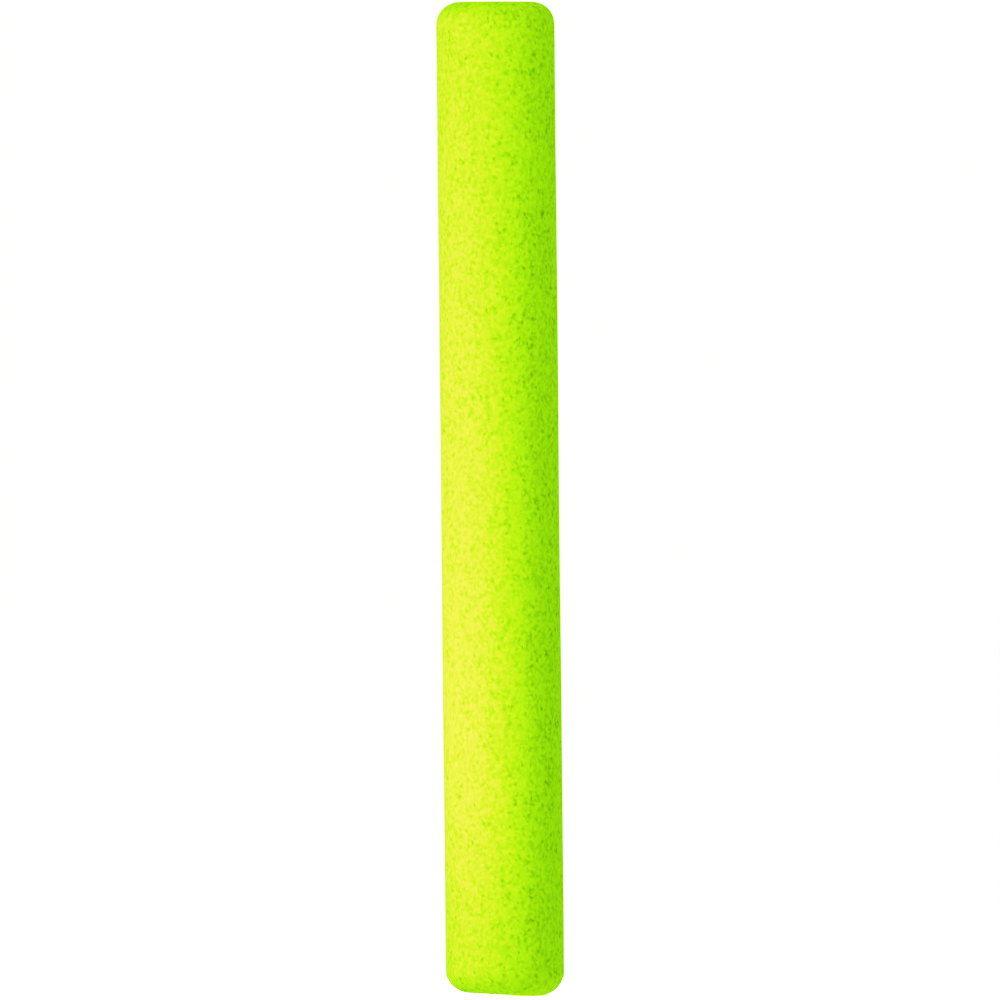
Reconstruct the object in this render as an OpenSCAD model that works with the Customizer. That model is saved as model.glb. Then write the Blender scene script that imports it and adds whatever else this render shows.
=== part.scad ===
// Foam-padded juggling club of the straight, stick-shaped kind.
// A beech dowel carries the weight and the stiffness. A moulded cap is screwed to each end of it,
// an extruded foam sleeve slides over dowel and caps, and a foam plug closes each end of the sleeve.
// The stick stands on its bottom end: the origin is the centre of that end face, and +Z runs up its axis.

/* [Foam] */
// Outside diameter of the foam sleeve
foam_d = 50; // [48:1:60]
// Overall length of the stick
stick_length = 422; // [300:1:520]
// Radius of the ground rim at each end of the sleeve
rim_radius = 10; // [3:0.5:10]
// Depth of the foam plug that closes each end
plug_depth = 20; // [12:1:30]

/* [Core] */
// Diameter of the beech dowel
dowel_d = 20; // [16:1:21]
// Chamfer on each end of the dowel
dowel_chamfer = 1; // [0.5:0.25:1.5]
// Thickness of the adhesive tape between dowel and sleeve
tape_thickness = 0.25; // [0.15:0.05:0.4]
// Width of one band of tape
tape_width = 25; // [10:1:40]
// Number of tape bands along the dowel
tape_bands = 3; // [2:1:5]

/* [Core caps] */
// Diameter of the cap's head, which is also the plug's
cap_d = 28; // [28:1:30]
// Thickness of the cap's head
cap_head = 6; // [5:0.5:8]
// Length of the skirt that slides over the dowel
skirt_length = 15; // [10:1:25]
// Wall of the skirt
skirt_wall = 2.4; // [1.6:0.2:3]
// Height of the barbs that hold the foam on the skirt
barb_height = 0.8; // [0.4:0.1:1.2]
// Number of barbs on one skirt
barb_count = 3; // [1:1:4]

/* [Screws] */
// Thread diameter of the cap screw
screw_d = 4; // [3.5:0.5:5]
// Length of the screw under its head
screw_length = 25; // [20:1:40]
// Thread pitch of the screw
screw_pitch = 1.8; // [1.4:0.1:2.4]
// Diameter of the screw's pan head
head_d = 8; // [7:0.5:9]
// Height of the screw's pan head
head_height = 2.4; // [2:0.1:3]
// Outside diameter of the washer
washer_d = 12; // [10:0.5:12]
// Thickness of the washer
washer_thickness = 1; // [0.8:0.1:1.2]

/* [Hidden] */
$fn = 96;
over = 1;                                        // how far a cutting shape runs past a face
skirt_clearance = 0.1;                           // radial gap between dowel and skirt
hole_clearance = 0.2;                            // radial gap between screw and cap or washer
recess_gap = 0.5;                                // radial gap around the washer in its recess
head_edge = 1.2;                                 // rounding on the rim of the screw's head
cap_edge = 1.5;                                  // rounding on the outer rim of the cap
thread_depth = 0.55;                             // root of the thread below its crest
tip_length = 3;                                  // pointed end of the screw
point_r = 0.2;                                   // blunt end of its point
cross_width = 1.1;                               // slot width of the cross recess
cross_span = 4.6;                                // slot length of the cross recess
cross_depth = 1.3;                               // depth of the cross recess
bore_d = dowel_d + 2 * tape_thickness;           // the sleeve's bore, held off the dowel by the tape
skirt_bore_r = dowel_d / 2 + skirt_clearance;
skirt_r = skirt_bore_r + skirt_wall;
cap_depth = cap_head + skirt_length;             // the cap's whole height
dowel_start = plug_depth + cap_head;             // from the stick's end to the dowel's end
dowel_length = stick_length - 2 * dowel_start;
barb_pitch = skirt_length / barb_count;
recess_depth = washer_thickness + head_height;   // head and washer end flush with the cap
shank_length = recess_depth;                     // plain shank, through the washer and the cap
thread_length = screw_length - shank_length - tip_length;
thread_turns = floor(thread_length / screw_pitch);
tape_start = plug_depth + cap_depth + tape_width / 2;
tape_pitch = (stick_length - 2 * tape_start - tape_width) / (tape_bands - 1);

FOAM = [0.67, 0.95, 0.06];
BEECH = [0.80, 0.62, 0.40];
MOULDED = [0.13, 0.13, 0.14];
ZINC = [0.72, 0.73, 0.75];
TAPE = [0.86, 0.80, 0.62];

// The pieces of one end are drawn with the stick's end face at z = 0 and the dowel above it.
module at_bottom() {
    children();
}

module at_top() {
    translate([0, 0, stick_length]) mirror([0, 0, 1]) children();
}

// Half section of a bar of radius r and height h whose two rims are rounded.
module rounded_bar_section(r, h, rim) {
    square([r - rim, h]);
    translate([0, rim]) square([r, h - 2 * rim]);
    for (z = [rim, h - rim]) translate([r - rim, z]) circle(rim);
}

// Outside of the cap: a rounded head, and a skirt with barbs that point away from the dowel's middle.
module cap_outside() {
    rotate_extrude() {
        square([cap_d / 2 - cap_edge, cap_head]);
        translate([0, cap_edge]) square([cap_d / 2, cap_head - cap_edge]);
        translate([cap_d / 2 - cap_edge, cap_edge]) circle(cap_edge);
    }
    translate([0, 0, cap_head]) rotate_extrude() polygon(concat(
        [[0, 0]],
        [for (i = [0 : barb_count - 1]) each [
            [skirt_r + barb_height, i * barb_pitch],
            [skirt_r, (i + 1) * barb_pitch]
        ]],
        [[0, skirt_length]]
    ));
}

module core_cap() {
    color(MOULDED) translate([0, 0, plug_depth]) difference() {
        cap_outside();
        translate([0, 0, cap_head]) cylinder(r = skirt_bore_r, h = skirt_length + over);
        translate([0, 0, -over]) cylinder(r = washer_d / 2 + recess_gap, h = recess_depth + over);
        cylinder(r = screw_d / 2 + hole_clearance, h = cap_head + over);
    }
}

module washer() {
    color(ZINC) translate([0, 0, plug_depth + head_height]) difference() {
        cylinder(d = washer_d, h = washer_thickness);
        translate([0, 0, -over]) cylinder(r = screw_d / 2 + hole_clearance, h = washer_thickness + 2 * over);
    }
}

// Shank, ridged thread and point of the screw, from the underside of its head. The dowel is cut by the same shape.
module screw_body() {
    root_r = screw_d / 2 - thread_depth;
    rotate_extrude() polygon(concat(
        [[0, 0], [root_r, 0], [root_r, shank_length]],
        [for (i = [0 : thread_turns - 1]) each [
            [screw_d / 2, shank_length + (i + 0.5) * screw_pitch],
            [root_r, shank_length + (i + 1) * screw_pitch]
        ]],
        [[point_r, screw_length], [0, screw_length]]
    ));
}

module screw_head() {
    difference() {
        rotate_extrude() {
            square([head_d / 2 - head_edge, head_height]);
            translate([0, head_edge]) square([head_d / 2, head_height - head_edge]);
            translate([head_d / 2 - head_edge, head_edge]) circle(head_edge);
        }
        for (turn = [0, 90]) rotate(turn)
            translate([-cross_span / 2, -cross_width / 2, -over]) cube([cross_span, cross_width, cross_depth + over]);
    }
}

module cap_screw() {
    color(ZINC) translate([0, 0, plug_depth]) {
        screw_head();
        translate([0, 0, head_height]) screw_body();
    }
}

module dowel_core() {
    color(BEECH) difference() {
        translate([0, 0, dowel_start]) {
            cylinder(d1 = dowel_d - 2 * dowel_chamfer, d2 = dowel_d, h = dowel_chamfer);
            translate([0, 0, dowel_chamfer]) cylinder(d = dowel_d, h = dowel_length - 2 * dowel_chamfer);
            translate([0, 0, dowel_length - dowel_chamfer])
                cylinder(d1 = dowel_d, d2 = dowel_d - 2 * dowel_chamfer, h = dowel_chamfer);
        }
        at_bottom() translate([0, 0, plug_depth + head_height]) screw_body();
        at_top() translate([0, 0, plug_depth + head_height]) screw_body();
    }
}

module adhesive_tape_bands() {
    color(TAPE) for (i = [0 : tape_bands - 1]) translate([0, 0, tape_start + i * tape_pitch]) difference() {
        cylinder(d = bore_d, h = tape_width);
        translate([0, 0, -over]) cylinder(d = dowel_d, h = tape_width + 2 * over);
    }
}

module foam_plug() {
    color(FOAM) cylinder(d = cap_d, h = plug_depth);
}

// The foam closes up round the cap and its barbs, so its cavity is the outside of the cap.
module foam_sleeve() {
    color(FOAM) difference() {
        rotate_extrude() rounded_bar_section(foam_d / 2, stick_length, rim_radius);
        translate([0, 0, -over]) cylinder(d = bore_d, h = stick_length + 2 * over);
        at_bottom() sleeve_end_cavity();
        at_top() sleeve_end_cavity();
    }
}

module sleeve_end_cavity() {
    translate([0, 0, -over]) cylinder(d = cap_d, h = plug_depth + cap_edge + over);
    translate([0, 0, plug_depth]) cap_outside();
}

foam_sleeve();
at_top() foam_plug();  // top_foam_plug
at_bottom() foam_plug();  // bottom_foam_plug
dowel_core();
adhesive_tape_bands();
at_top() core_cap();  // top_core_cap
at_bottom() core_cap();  // bottom_core_cap
at_top() washer();  // top_washer
at_bottom() washer();  // bottom_washer
at_top() cap_screw();  // top_cap_screw
at_bottom() cap_screw();  // bottom_cap_screw
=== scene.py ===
import math

import bpy
import numpy as np
from mathutils import Matrix, Vector, noise


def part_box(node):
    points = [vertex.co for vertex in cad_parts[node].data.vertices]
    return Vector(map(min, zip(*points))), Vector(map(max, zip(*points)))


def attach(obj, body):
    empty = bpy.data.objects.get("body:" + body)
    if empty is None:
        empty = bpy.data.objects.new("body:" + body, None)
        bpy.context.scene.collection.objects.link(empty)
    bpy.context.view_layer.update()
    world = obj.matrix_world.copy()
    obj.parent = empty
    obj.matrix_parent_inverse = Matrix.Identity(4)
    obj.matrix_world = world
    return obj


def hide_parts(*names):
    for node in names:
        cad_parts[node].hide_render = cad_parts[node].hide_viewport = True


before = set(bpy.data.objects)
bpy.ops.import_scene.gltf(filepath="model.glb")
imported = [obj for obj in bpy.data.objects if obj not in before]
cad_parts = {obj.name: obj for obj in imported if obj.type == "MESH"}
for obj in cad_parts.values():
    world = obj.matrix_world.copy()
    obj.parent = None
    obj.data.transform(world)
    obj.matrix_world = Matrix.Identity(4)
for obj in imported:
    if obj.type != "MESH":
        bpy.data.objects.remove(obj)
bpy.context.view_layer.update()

# The club is a straight foam-padded stick. The two foam plugs and the sleeve are built here as closed
# meshes with the foam's real relief. The core inside keeps its CAD shape and gets finished materials.

MM = 0.001
TINY = 1e-12                          # metres, next to nothing

# ---------------------------------------------------------------- sizes, read from the frame
sleeve_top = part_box("foam_sleeve")[1]
plug_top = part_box("bottom_foam_plug")[1]
cap_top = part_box("bottom_core_cap")[1]
dowel_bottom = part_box("dowel_core")[0]
tape_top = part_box("adhesive_tape_bands")[1]

STICK_R = sleeve_top.x
STICK_LENGTH = sleeve_top.z
SEAM_R = plug_top.x                   # the glued joint between sleeve and plug
PLUG_DEPTH = plug_top.z
HEAD_END = dowel_bottom.z             # where the cap's head stops and its skirt starts
CAP_END = cap_top.z
BORE_R = tape_top.x

# ---------------------------------------------------------------- sizes the frame doesn't tell
RIM = 10 * MM                         # rounding of the sleeve's two rims
CAP_EDGE = 1.5 * MM                   # rounding of the cap's head
SKIRT_R = 12.5 * MM                   # the cap's skirt
BARB_R = 13.3 * MM                    # the crests of the barbs on it
BARBS = 3

# ---------------------------------------------------------------- the foam's surface
SEGMENTS = 180                        # round the stick, 0.87 mm apart
SIDE_RINGS = 450                      # along the straight side, 0.89 mm apart
RIM_RINGS = 22                        # round one rim
SEAM_RINGS = 3                        # round one soft edge of the joint between sleeve and plug
FACE_RINGS = 26                       # across one plug's face
SEAM_GAP = 0.12 * MM                  # half the open joint between sleeve and plug
SEAM_ROUND = 0.45 * MM                # the soft edge on each side of it
PLUG_SHARE = 0.6                      # how much of the skin's relief a plug's face has
BOTTOM_SKEW = 1.7 * MM                # how far the bottom end is cut out of square, across its flat
LOWEST = 11 * MM                      # the X at which the bottom end touches the floor
TOP_SKEW = 0.35 * MM                  # how far the top end is cut out of square
TOP_FULL = 1.0 * MM                   # the top rim is a little squarer on its +X side
WORN = 2.0 * MM                       # the bottom rim is rounder on its +X side, where it is worn
CORNER_POWER = 4                      # how closely both keep to that side
SKEW_DEPTH = 18 * MM                  # where the skew has faded out
PEBBLE = 1.9 * MM                     # lattice of the relief that the cells leave
PEBBLE_HEIGHT = 0.045 * MM
PEBBLE_STRETCH = 1.15                 # cells are longer along the extrusion
COARSE_SCALE = 0.62                   # of the relief's second, coarser layer, against the first
COARSE_SHARE = 0.38
COARSE_SHIFT = Vector((7.1, 3.3, 9.7))
SWELL = 34 * MM                       # lattice of the slow waviness
SWELL_HEIGHT = 0.16 * MM
SWELL_SQUEEZE = 0.7                   # the waves are longer along the stick
SWELL_SHIFT = Vector((2.4, 5.6, 1.2))
PROUD = 0.11 * MM                     # the skin's mean surface lies this far outside the CAD radius


def pebbles(point):
    """Height of the foam's fine relief at a point, from about -1 to 1."""
    cell = Vector((point.x, point.y, point.z / PEBBLE_STRETCH)) / PEBBLE
    coarse = noise.noise(cell * COARSE_SCALE + COARSE_SHIFT)
    return (1 - COARSE_SHARE) * noise.noise(cell) + COARSE_SHARE * coarse


def swell(point):
    """Height of the slow waviness along the stick, from about -1 to 1."""
    place = Vector((point.x, point.y, point.z * SWELL_SQUEEZE)) / SWELL
    return noise.noise(place + SWELL_SHIFT)


def skin_relief(point):
    """Height of the outside of the foam over its mean surface, in metres."""
    return PEBBLE_HEIGHT * pebbles(point) + SWELL_HEIGHT * swell(point)


def fade(height, depth):
    """1 at an end of the stick, down to 0 at depth from it."""
    return max(0.0, 1 - height / depth)


def out_of_square(point):
    """The point moved along the stick to where the skewed cuts and uneven rims of the ends put it."""
    flat = STICK_R - RIM
    x = max(-STICK_R, min(STICK_R, point.x))
    corner = (max(0.0, x) / STICK_R) ** CORNER_POWER
    below_top = STICK_LENGTH - point.z
    lift = BOTTOM_SKEW * (LOWEST - x) / (2 * flat) * fade(point.z, SKEW_DEPTH)
    lift += WORN * corner * fade(point.z, RIM)
    drop = TOP_SKEW * (flat + x) / (2 * flat) * fade(below_top, SKEW_DEPTH)
    drop -= TOP_FULL * corner * fade(below_top, RIM)
    z = point.z + lift - drop
    return Vector((point.x, point.y, max(0.0, min(STICK_LENGTH, z))))


def arc(centre_r, centre_z, radius, start, end, steps):
    """Profile points (r, z) on an arc, angles in degrees from the +r direction."""
    angles = [math.radians(start + (end - start) * i / steps) for i in range(steps + 1)]
    return [(centre_r + radius * math.cos(a), centre_z + radius * math.sin(a)) for a in angles]


def straight(start, end, steps):
    """Profile points between start and end, both left out."""
    return [
        (start[0] + (end[0] - start[0]) * i / steps, start[1] + (end[1] - start[1]) * i / steps)
        for i in range(1, steps)
    ]


def unit(rows):
    """Each row scaled to length 1."""
    return rows / (np.linalg.norm(rows, axis=1)[:, None] + TINY)


def lathe(name, profile, closed):
    """A turned solid from profile rows (r, z, share of the relief). A closed profile makes a tube,
    and an open one starts and ends on the axis."""
    points = np.array([(r, z) for r, z, _ in profile])
    ahead = np.roll(points, -1, 0) - points
    behind = points - np.roll(points, 1, 0)
    if not closed:
        ahead[-1] = behind[-1]
        behind[0] = ahead[0]
    along = unit(unit(ahead) + unit(behind))
    outward = np.stack([along[:, 1], -along[:, 0]], 1)
    verts, faces, rows = [], [], []
    for i, (r, z, share) in enumerate(profile):
        row = []
        count = 1 if r < TINY else SEGMENTS
        for s in range(count):
            angle = 2 * math.pi * s / SEGMENTS
            side = Vector((math.cos(angle), math.sin(angle), 0))
            point = side * r + Vector((0, 0, z))
            if share > 0:
                push = side * outward[i][0] + Vector((0, 0, outward[i][1]))
                point += push * (skin_relief(point) * share)
            row.append(len(verts))
            verts.append(out_of_square(point))
        rows.append(row)
    pairs = list(zip(rows, rows[1:])) + ([(rows[-1], rows[0])] if closed else [])
    for a, b in pairs:
        for s in range(SEGMENTS):
            t = (s + 1) % SEGMENTS
            if len(a) == 1:
                faces.append((a[0], b[t], b[s]))
            elif len(b) == 1:
                faces.append((a[s], a[t], b[0]))
            else:
                faces.append((a[s], a[t], b[t], b[s]))
    mesh = bpy.data.meshes.new(name)
    mesh.from_pydata([tuple(v) for v in verts], [], faces)
    mesh.polygons.foreach_set("use_smooth", [True] * len(mesh.polygons))
    mesh.update()
    piece = bpy.data.objects.new(name, mesh)
    bpy.context.scene.collection.objects.link(piece)
    return piece


def half_cavity():
    """Profile of the sleeve's inside from the bottom end's seam up to the plain bore, as (r, z)."""
    profile = [(SEAM_R, PLUG_DEPTH + CAP_EDGE), (SEAM_R, HEAD_END)]
    barb = (CAP_END - HEAD_END) / BARBS
    for i in range(BARBS):
        profile.append((BARB_R, HEAD_END + i * barb))
        profile.append((SKIRT_R, HEAD_END + (i + 1) * barb))
    profile.append((BORE_R, CAP_END))
    return profile


def sleeve_profile():
    """The sleeve's closed outline: bottom end, rim, side, rim, top end, then down the inside."""
    r = STICK_R + PROUD
    top = STICK_LENGTH
    edge = SEAM_R + SEAM_GAP
    lip = arc(edge + SEAM_ROUND, SEAM_ROUND, SEAM_ROUND, 180, 270, SEAM_RINGS)
    rim = arc(r - RIM, RIM, RIM, 270, 360, RIM_RINGS)
    outside = lip + rim + straight((r, RIM), (r, top / 2), SIDE_RINGS // 2)
    outside = [(a, z, 1.0) for a, z in outside]
    inside = [(a, z, 0.0) for a, z in half_cavity()]
    middle = [(r, top / 2, 1.0)]
    upper = [(a, top - z, s) for a, z, s in reversed(outside)]
    cavity = [(a, top - z, s) for a, z, s in inside] + list(reversed(inside))
    return outside + middle + upper + cavity


def plug_profile(flip):
    """One plug's outline, from the axis on its outer face round to the axis on its inner face. The
    top plug is the same one flipped, and its outline runs the other way."""
    edge = SEAM_R - SEAM_GAP
    face = straight((0, 0), (edge - SEAM_ROUND, 0), FACE_RINGS)
    corner = arc(edge - SEAM_ROUND, SEAM_ROUND, SEAM_ROUND, 270, 360, SEAM_RINGS)
    profile = [(a, z, PLUG_SHARE) for a, z in [(0, 0)] + face + corner]
    profile += [(edge, PLUG_DEPTH / 2, 0), (edge, PLUG_DEPTH, 0), (0, PLUG_DEPTH, 0)]
    if flip:
        profile = [(a, STICK_LENGTH - z, s) for a, z, s in reversed(profile)]
    return profile


# ---------------------------------------------------------------- materials
NEON = (0.39, 0.85, 0.045)
NEON_DEEP = (0.18, 0.265, 0.017)      # in the middle of a cell
NEON_LIGHT = (0.5, 1.0, 0.062)        # in the palest patches
# painted shade: the colour a pit is darkened to, standing in for the shadow in its dent
PIT_SHADE_COLOUR = (0.10, 0.20, 0.012)
PIT_SHADE_STRENGTH = 0.62                   # how far a pit takes that colour
PIT_SLOPE = 0.08                      # width of its soft edge, as a share of the pits' spacing
CELL_SCALE = 0.42                     # foam cells to the millimetre
CELL_SOFTNESS = 0.7
CELL_DOME = 0.5                       # how far a cell's middle stands out in the bump
CUT_DOME = 1.4                        # the same on a sawn face
GRAIN_RISE = 0.6                      # and how far the pale specks do
FINE_RISE = 0.25                      # and the finest roughness
PIT_DEPTH = 1.6
FOAM_BUMP = 0.07 * MM                 # size of one unit of these
FOAM_SHEEN = 0.12                     # specular level: foam hardly shines

BEECH_PALE, BEECH_DARK, BEECH_FLECK = (0.68, 0.45, 0.25), (0.50, 0.29, 0.14), (0.30, 0.15, 0.07)
MOULDED_DARK, MOULDED_PALE = (0.012, 0.012, 0.013), (0.024, 0.024, 0.026)
ZINC_DARK, ZINC_PALE = (0.52, 0.54, 0.57), (0.66, 0.68, 0.70)
TAPE_DARK, TAPE_PALE, TAPE_THREAD = (0.62, 0.52, 0.34), (0.74, 0.66, 0.48), (0.50, 0.41, 0.26)
THREAD_PITCH = 0.7 * MM               # of the tape's cloth, along the stick
THREADS_ROUND = 90                    # round the dowel


class Nodes:
    """Short calls for building a node tree."""

    def __init__(self, name):
        self.material = bpy.data.materials.new(name)
        self.material.use_nodes = True
        self.tree = self.material.node_tree
        self.shader = self.tree.nodes["Principled BSDF"]

    def add(self, kind, inputs=None, **settings):
        node = self.tree.nodes.new(kind)
        for key, value in settings.items():
            setattr(node, key, value)
        for key, value in (inputs or {}).items():
            if isinstance(value, bpy.types.NodeSocket):
                self.tree.links.new(value, node.inputs[key])
            else:
                node.inputs[key].default_value = value
        return node

    def object_mm(self, stretch=(1, 1, 1)):
        """Object coordinates in millimetres, divided by stretch along each axis."""
        place = self.add("ShaderNodeTexCoord").outputs["Object"]
        scale = [1 / MM / s for s in stretch]
        return self.add("ShaderNodeMapping", {"Vector": place, "Scale": scale}).outputs["Vector"]

    def noise(self, vector, scale, detail, roughness):
        """Noise of about 0 to 1, with scale blobs to the vector's unit."""
        values = {"Vector": vector, "Scale": scale, "Detail": detail, "Roughness": roughness}
        return self.add("ShaderNodeTexNoise", values).outputs["Fac"]

    def ramp(self, value, low, high, to_low=0.0, to_high=1.0):
        """The value stretched from low..high to to_low..to_high, and held at both ends."""
        values = {"Value": value, "From Min": low, "From Max": high, "To Min": to_low, "To Max": to_high}
        return self.add("ShaderNodeMapRange", values).outputs["Result"]

    def math(self, operation, a, b=0.0):
        return self.add("ShaderNodeMath", {0: a, 1: b}, operation=operation).outputs[0]

    def mix(self, factor, a, b):
        """Colour a where the factor is 0, and b where it is 1."""
        node = self.add("ShaderNodeMix", {"Factor": factor}, data_type="RGBA")
        for socket, value in (("A", a), ("B", b)):
            target = [s for s in node.inputs if s.name == socket and s.type == "RGBA"][0]
            if isinstance(value, bpy.types.NodeSocket):
                self.tree.links.new(value, target)
            else:
                target.default_value = (*value, 1)
        return [s for s in node.outputs if s.type == "RGBA"][0]

    def bump(self, height, distance):
        values = {"Height": height, "Distance": distance, "Strength": 1.0}
        return self.add("ShaderNodeBump", values).outputs["Normal"]

    def pits(self, stretch, scale, size):
        """Scattered pits, 1 inside and 0 outside, scale of them to the millimetre. A quarter of the
        places have none, and the others are of all sizes up to size, as a share of their spacing."""
        place = self.object_mm((1, 1, stretch))
        cell = self.add("ShaderNodeTexVoronoi", {"Vector": place, "Scale": scale}, feature="F1")
        pick = self.add("ShaderNodeSeparateColor", {"Color": cell.outputs["Color"]})
        radius = self.ramp(pick.outputs["Red"], 0.25, 1.0, 0.0, size)
        return self.ramp(self.math("SUBTRACT", radius, cell.outputs["Distance"]), 0.0, PIT_SLOPE)

    def finish(self, **inputs):
        """Sets the shader's sockets by name, with _ for a space, and returns the material."""
        for key, value in inputs.items():
            socket = self.shader.inputs[key.replace("_", " ")]
            if isinstance(value, bpy.types.NodeSocket):
                self.tree.links.new(value, socket)
            else:
                socket.default_value = value
        return self.material


def foam_material(name, cut):
    """Neon closed-cell foam: a pale net round darker cells, with pits that are dents in the bump and are
    darkened with painted shade in the colour. cut is true on a sawn face, which is rougher."""
    n = Nodes(name)
    drawn = n.object_mm((1, 1, 1.12))
    blotch = n.noise(drawn, 0.6, 1.0, 0.5)                       # makes some cells darker than others
    grain = n.noise(drawn, 0.7, 1.0, 0.4)                        # pale specks
    cloud = n.noise(n.object_mm((1, 1, 1.6)), 0.16, 2.0, 0.5)    # wide pale patches
    streak = n.noise(n.object_mm((1, 1, 8)), 0.7, 1.5, 0.5)      # faint lines along the extrusion
    settings = {"Vector": drawn, "Scale": CELL_SCALE, "Smoothness": CELL_SOFTNESS}
    cells = n.add("ShaderNodeTexVoronoi", settings, feature="SMOOTH_F1").outputs["Distance"]
    pit = n.math("MAXIMUM", n.pits(2.0, 0.33, 0.17), n.pits(1.1, 0.21, 0.08))

    near_middle = n.ramp(cells, 0.12, 0.74, 1.0, 0.0)
    dark = n.math("MULTIPLY", near_middle, n.ramp(blotch, 0.32, 0.55, 0.5, 1.0))
    colour = n.mix(dark, NEON, NEON_DEEP)
    colour = n.mix(n.ramp(grain, 0.4, 0.68, 0.0, 0.85), colour, NEON_LIGHT)
    colour = n.mix(n.ramp(streak, 0.5, 0.75, 0.0, 0.12), colour, NEON_DEEP)
    colour = n.mix(n.ramp(cloud, 0.35, 0.65, 0.0, 0.32), colour, NEON_LIGHT)
    # painted shade: each pit's colour is darkened as if shadowed, on top of its dent in the bump
    colour = n.mix(n.math("MULTIPLY", pit, PIT_SHADE_STRENGTH), colour, PIT_SHADE_COLOUR)

    fine = n.noise(n.object_mm(), 3.2, 2.0, 0.6)
    height = n.math("MULTIPLY", cells, -CUT_DOME if cut else -CELL_DOME)
    height = n.math("ADD", height, n.math("MULTIPLY", grain, GRAIN_RISE))
    height = n.math("ADD", height, n.math("MULTIPLY", fine, FINE_RISE))
    height = n.math("SUBTRACT", height, n.math("MULTIPLY", pit, PIT_DEPTH))
    return n.finish(
        Base_Color=colour, Roughness=n.ramp(grain, 0.3, 0.7, 0.72, 0.88),
        Normal=n.bump(height, FOAM_BUMP), Specular_IOR_Level=FOAM_SHEEN,
    )


def beech_material():
    """Turned beech: long pale grain with fine dark flecks."""
    n = Nodes("beech")
    rings = n.noise(n.object_mm((1, 1, 26)), 0.45, 3.0, 0.55)
    fleck = n.noise(n.object_mm((1, 1, 7)), 2.4, 1.0, 0.5)
    colour = n.mix(n.ramp(rings, 0.35, 0.65), BEECH_DARK, BEECH_PALE)
    colour = n.mix(n.ramp(fleck, 0.62, 0.72, 0.0, 0.55), colour, BEECH_FLECK)
    normal = n.bump(n.math("ADD", rings, n.math("MULTIPLY", fleck, -0.6)), 0.06 * MM)
    return n.finish(Base_Color=colour, Roughness=n.ramp(rings, 0.3, 0.7, 0.48, 0.62), Normal=normal)


def moulded_material():
    """Black moulded polyethylene with a faint spark-eroded texture."""
    n = Nodes("moulded_polyethylene")
    spark = n.noise(n.object_mm(), 3.5, 2.0, 0.6)
    flow = n.noise(n.object_mm(), 0.16, 2.0, 0.5)
    colour = n.mix(n.ramp(flow, 0.35, 0.65), MOULDED_DARK, MOULDED_PALE)
    return n.finish(
        Base_Color=colour, Roughness=n.ramp(spark, 0.3, 0.7, 0.36, 0.52),
        Normal=n.bump(spark, 0.03 * MM),
    )


def zinc_material():
    """Bright zinc plate, slightly blue, with fine turning marks."""
    n = Nodes("zinc_steel")
    marks = n.noise(n.object_mm((1, 1, 0.12)), 0.8, 2.0, 0.6)
    cloud = n.noise(n.object_mm(), 0.9, 2.0, 0.5)
    colour = n.mix(n.ramp(cloud, 0.35, 0.65), ZINC_DARK, ZINC_PALE)
    return n.finish(
        Base_Color=colour, Metallic=1.0, Roughness=n.ramp(marks, 0.3, 0.7, 0.22, 0.4),
        Normal=n.bump(marks, 0.01 * MM),
    )


def tape_material():
    """Double-sided cloth tape: cream, with a fine weave."""
    n = Nodes("cloth_tape")
    place = n.add("ShaderNodeTexCoord").outputs["Object"]
    split = n.add("ShaderNodeSeparateXYZ", {"Vector": place})
    angle = n.math("ARCTAN2", split.outputs["Y"], split.outputs["X"])
    warp = n.math("SINE", n.math("MULTIPLY", split.outputs["Z"], 2 * math.pi / THREAD_PITCH))
    weft = n.math("SINE", n.math("MULTIPLY", angle, THREADS_ROUND))
    weave = n.math("MULTIPLY", warp, weft)
    stain = n.noise(n.object_mm(), 0.3, 2.0, 0.5)
    colour = n.mix(n.ramp(stain, 0.35, 0.65), TAPE_DARK, TAPE_PALE)
    colour = n.mix(n.ramp(weave, -1, 1, 0.0, 0.3), colour, TAPE_THREAD)
    return n.finish(
        Base_Color=colour, Roughness=n.ramp(stain, 0.3, 0.7, 0.7, 0.85),
        Normal=n.bump(weave, 0.04 * MM),
    )


def dress(node, material):
    """A CAD node keeps its shape and gets a finished material."""
    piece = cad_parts[node]
    piece.data.materials.clear()
    piece.data.materials.append(material)


# ---------------------------------------------------------------- the pieces
def build_foam():
    """The sleeve and the two plugs, each in place of its CAD node."""
    skin = foam_material("foam_skin", cut=False)
    cut = foam_material("foam_cut", cut=True)
    sleeve = lathe("foam_sleeve_skin", sleeve_profile(), closed=True)
    top = lathe("top_plug_foam", plug_profile(flip=True), closed=False)
    bottom = lathe("bottom_plug_foam", plug_profile(flip=False), closed=False)
    rows = [
        (sleeve, "foam_sleeve", skin),
        (top, "top_foam_plug", cut),
        (bottom, "bottom_foam_plug", cut),
    ]
    for piece, node, material in rows:
        piece.data.materials.append(material)
        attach(piece, "root")
        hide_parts(node)


def dress_core():
    """Finished materials for everything inside the foam."""
    moulded = moulded_material()
    zinc = zinc_material()
    dress("dowel_core", beech_material())
    dress("adhesive_tape_bands", tape_material())
    for end in ("top", "bottom"):
        dress(end + "_core_cap", moulded)
        dress(end + "_washer", zinc)
        dress(end + "_cap_screw", zinc)


# ---------------------------------------------------------------- camera, light and floor
LENS = 1500                           # millimetres: a nearly parallel view
SENSOR = 36                           # millimetres
FRAME_HEIGHT = 0.4243                 # metres of the stick's plane that fill the frame
LEAN = math.radians(0.589)            # the stick's top leans left by this much in the frame
OFF_AXIS = -0.1 * MM                  # the frame's middle is this far off the stick's, across and up
OFF_MIDDLE = -0.48 * MM
AIM = Vector((OFF_AXIS, 0, STICK_LENGTH / 2 + OFF_MIDDLE))

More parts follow.
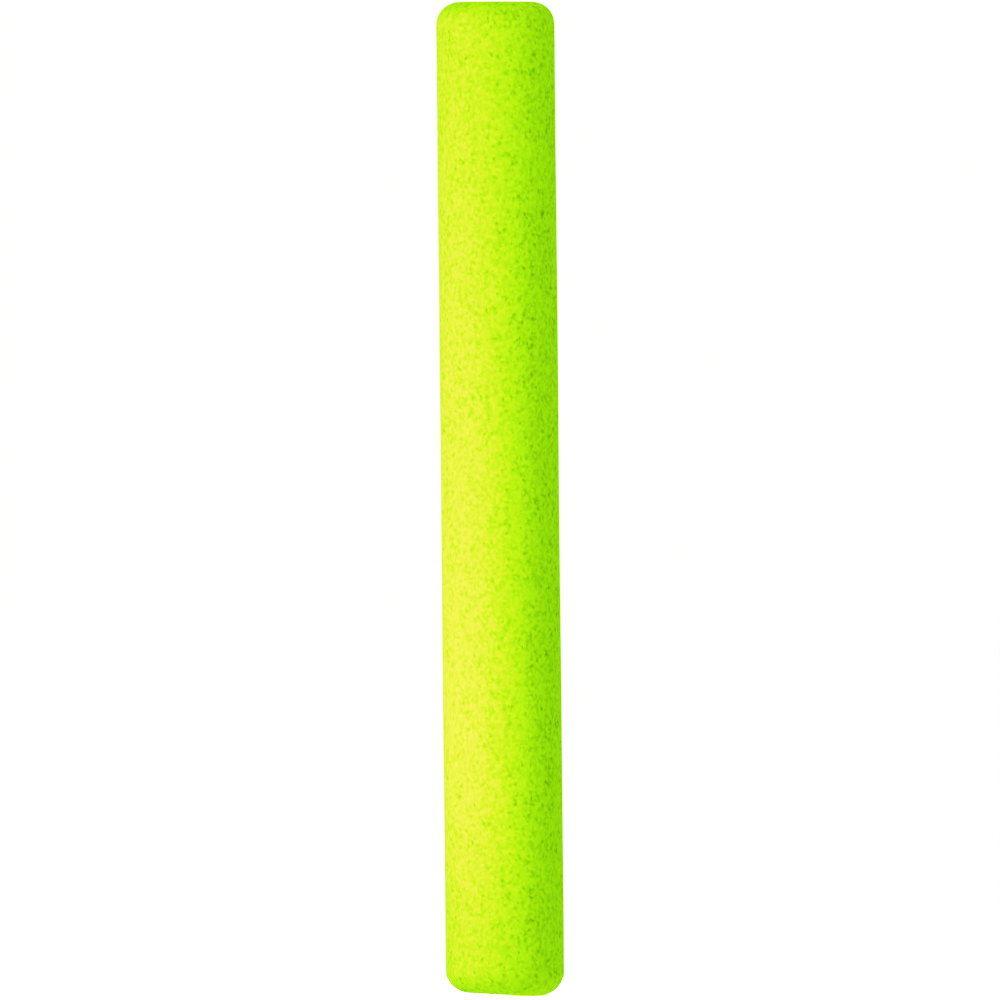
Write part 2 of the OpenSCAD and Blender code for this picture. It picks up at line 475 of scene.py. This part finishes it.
CHANNELS = ("Red", "Green", "Blue")
WHITE = (1.5, 3.0, 1.0)               # scene brightness that each channel shows as full
RED_RESPONSE = [(0.6, 0.6), (0.8, 0.775), (0.95, 0.865), (1.15, 0.94)]
GREEN_RESPONSE = [
    (0.3, 0.47), (0.4, 0.59), (0.55, 0.705), (0.66, 0.772), (0.8, 0.842), (0.95, 0.882), (1.1, 0.897),
    (1.5, 0.91), (2.1, 0.922),
]
BLUE_RESPONSE = [
    (0.035, 0.0025), (0.055, 0.0045), (0.08, 0.012), (0.1, 0.03), (0.12, 0.062), (0.2, 0.15), (0.6, 0.5),
]
AMBIENT = 0.402                       # brightness of the fill from above and all round
FLOOR_GLOW = 0.88                     # brightness of the floor, as the object sees it
FLOOR = 60                            # metres from its middle to each edge


def place_camera():
    """Square on to the stick, far off, and turned by the lean."""
    data = bpy.data.cameras.new("camera")
    data.lens = LENS
    data.sensor_width = SENSOR
    data.clip_start = 0.1
    data.clip_end = 100
    camera = bpy.data.objects.new("camera", data)
    bpy.context.scene.collection.objects.link(camera)
    distance = FRAME_HEIGHT * LENS / SENSOR
    upright = Matrix.Rotation(math.radians(90), 4, "X")
    camera.matrix_world = (
        Matrix.Translation(AIM - Vector((0, distance, 0))) @ Matrix.Rotation(LEAN, 4, "Y") @ upright
    )
    bpy.context.scene.camera = camera


def softbox(name, azimuth, height, distance, width, tall, power, spread, tilt=0):
    """A soft rectangular light that looks at the stick's axis. Azimuth 0 is the camera's side, and
    negative is to its left. tilt is how many degrees it looks down."""
    data = bpy.data.lights.new(name, "AREA")
    data.shape = "RECTANGLE"
    data.size, data.size_y = width, tall
    data.energy = power
    data.spread = math.radians(spread)
    light = bpy.data.objects.new(name, data)
    bpy.context.scene.collection.objects.link(light)
    a = math.radians(azimuth)
    place = Vector((math.sin(a) * distance, -math.cos(a) * distance, height))
    light.location = place
    aim = Vector((0, 0, height - math.tan(math.radians(tilt)) * distance)) - place
    light.rotation_euler = aim.to_track_quat("-Z", "Z").to_euler()
    light.visible_camera = False


def seen_level(tree, to_camera, otherwise):
    """A number: to_camera for what the camera sees directly, and otherwise for every other ray."""
    path = tree.nodes.new("ShaderNodeLightPath")
    level = tree.nodes.new("ShaderNodeMapRange")
    level.inputs["To Min"].default_value = otherwise
    level.inputs["To Max"].default_value = to_camera
    tree.links.new(path.outputs["Is Camera Ray"], level.inputs["Value"])
    return level.outputs["Result"]


def light_world():
    """Pure white behind the object, and a weaker even light on it from above and all round."""
    world = bpy.data.worlds.new("studio")
    bpy.context.scene.world = world
    world.use_nodes = True
    tree = world.node_tree
    tint = tree.nodes.new("ShaderNodeCombineColor")
    for channel, white in zip(CHANNELS, WHITE):
        tree.links.new(seen_level(tree, white, AMBIENT), tint.inputs[channel])
    tree.links.new(tint.outputs["Color"], tree.nodes["Background"].inputs["Color"])


def lay_floor():
    """A white light table. The camera sees paper that the fill alone makes full white, and the object
    gets an even glow from below."""
    mesh = bpy.data.meshes.new("floor")
    corners = [(-FLOOR, -FLOOR, 0), (FLOOR, -FLOOR, 0), (FLOOR, FLOOR, 0), (-FLOOR, FLOOR, 0)]
    mesh.from_pydata(corners, [], [(0, 1, 2, 3)])
    floor = bpy.data.objects.new("floor", mesh)
    bpy.context.scene.collection.objects.link(floor)
    material = bpy.data.materials.new("floor")
    material.use_nodes = True
    material.cycles.emission_sampling = "NONE"
    tree = material.node_tree
    tree.nodes.remove(tree.nodes["Principled BSDF"])
    paper = tree.nodes.new("ShaderNodeBsdfDiffuse")
    paper.inputs["Color"].default_value = (*[white / AMBIENT for white in WHITE], 1)
    glow = tree.nodes.new("ShaderNodeEmission")
    glow.inputs["Strength"].default_value = FLOOR_GLOW
    either = tree.nodes.new("ShaderNodeMixShader")
    tree.links.new(seen_level(tree, 1, 0), either.inputs["Fac"])
    tree.links.new(glow.outputs["Emission"], either.inputs[1])
    tree.links.new(paper.outputs["BSDF"], either.inputs[2])
    tree.links.new(either.outputs["Shader"], tree.nodes["Material Output"].inputs["Surface"])
    mesh.materials.append(material)


def camera_response():
    """What a camera makes of neon foam: green runs into its limit early and levels off, red follows
    later, and the trace of blue stays near black until the light is strong. White stays white."""
    view = bpy.context.scene.view_settings
    view.view_transform = "Standard"
    view.use_curve_mapping = True
    mapping = view.curve_mapping
    mapping.clip_max_x = mapping.clip_max_y = max(WHITE)
    mapping.use_clip = True
    mapping.curves[3].points[-1].location = (max(WHITE), max(WHITE))
    responses = (RED_RESPONSE, GREEN_RESPONSE, BLUE_RESPONSE)
    for curve, white, response in zip(mapping.curves, WHITE, responses):
        curve.points[-1].location = (white, 1)
        for x, y in response:
            curve.points.new(x, y)
        for point in curve.points:
            point.handle_type = "AUTO_CLAMPED"
    mapping.update()


camera_response()
place_camera()
light_world()
lay_floor()
softbox("key", azimuth=-53, height=0.205, distance=0.32, width=0.24, tall=0.22, power=1.22, spread=170)
softbox("low_key", azimuth=-38, height=0.1, distance=0.13, width=0.03, tall=0.1, power=0.062, spread=170)
softbox("top", azimuth=-30, height=0.62, distance=0.25, width=0.3, tall=0.3, power=0.66, spread=170, tilt=52)
softbox("back", azimuth=180, height=0.3, distance=0.7, width=0.2, tall=0.5, power=3, spread=150)

build_foam()
dress_core()
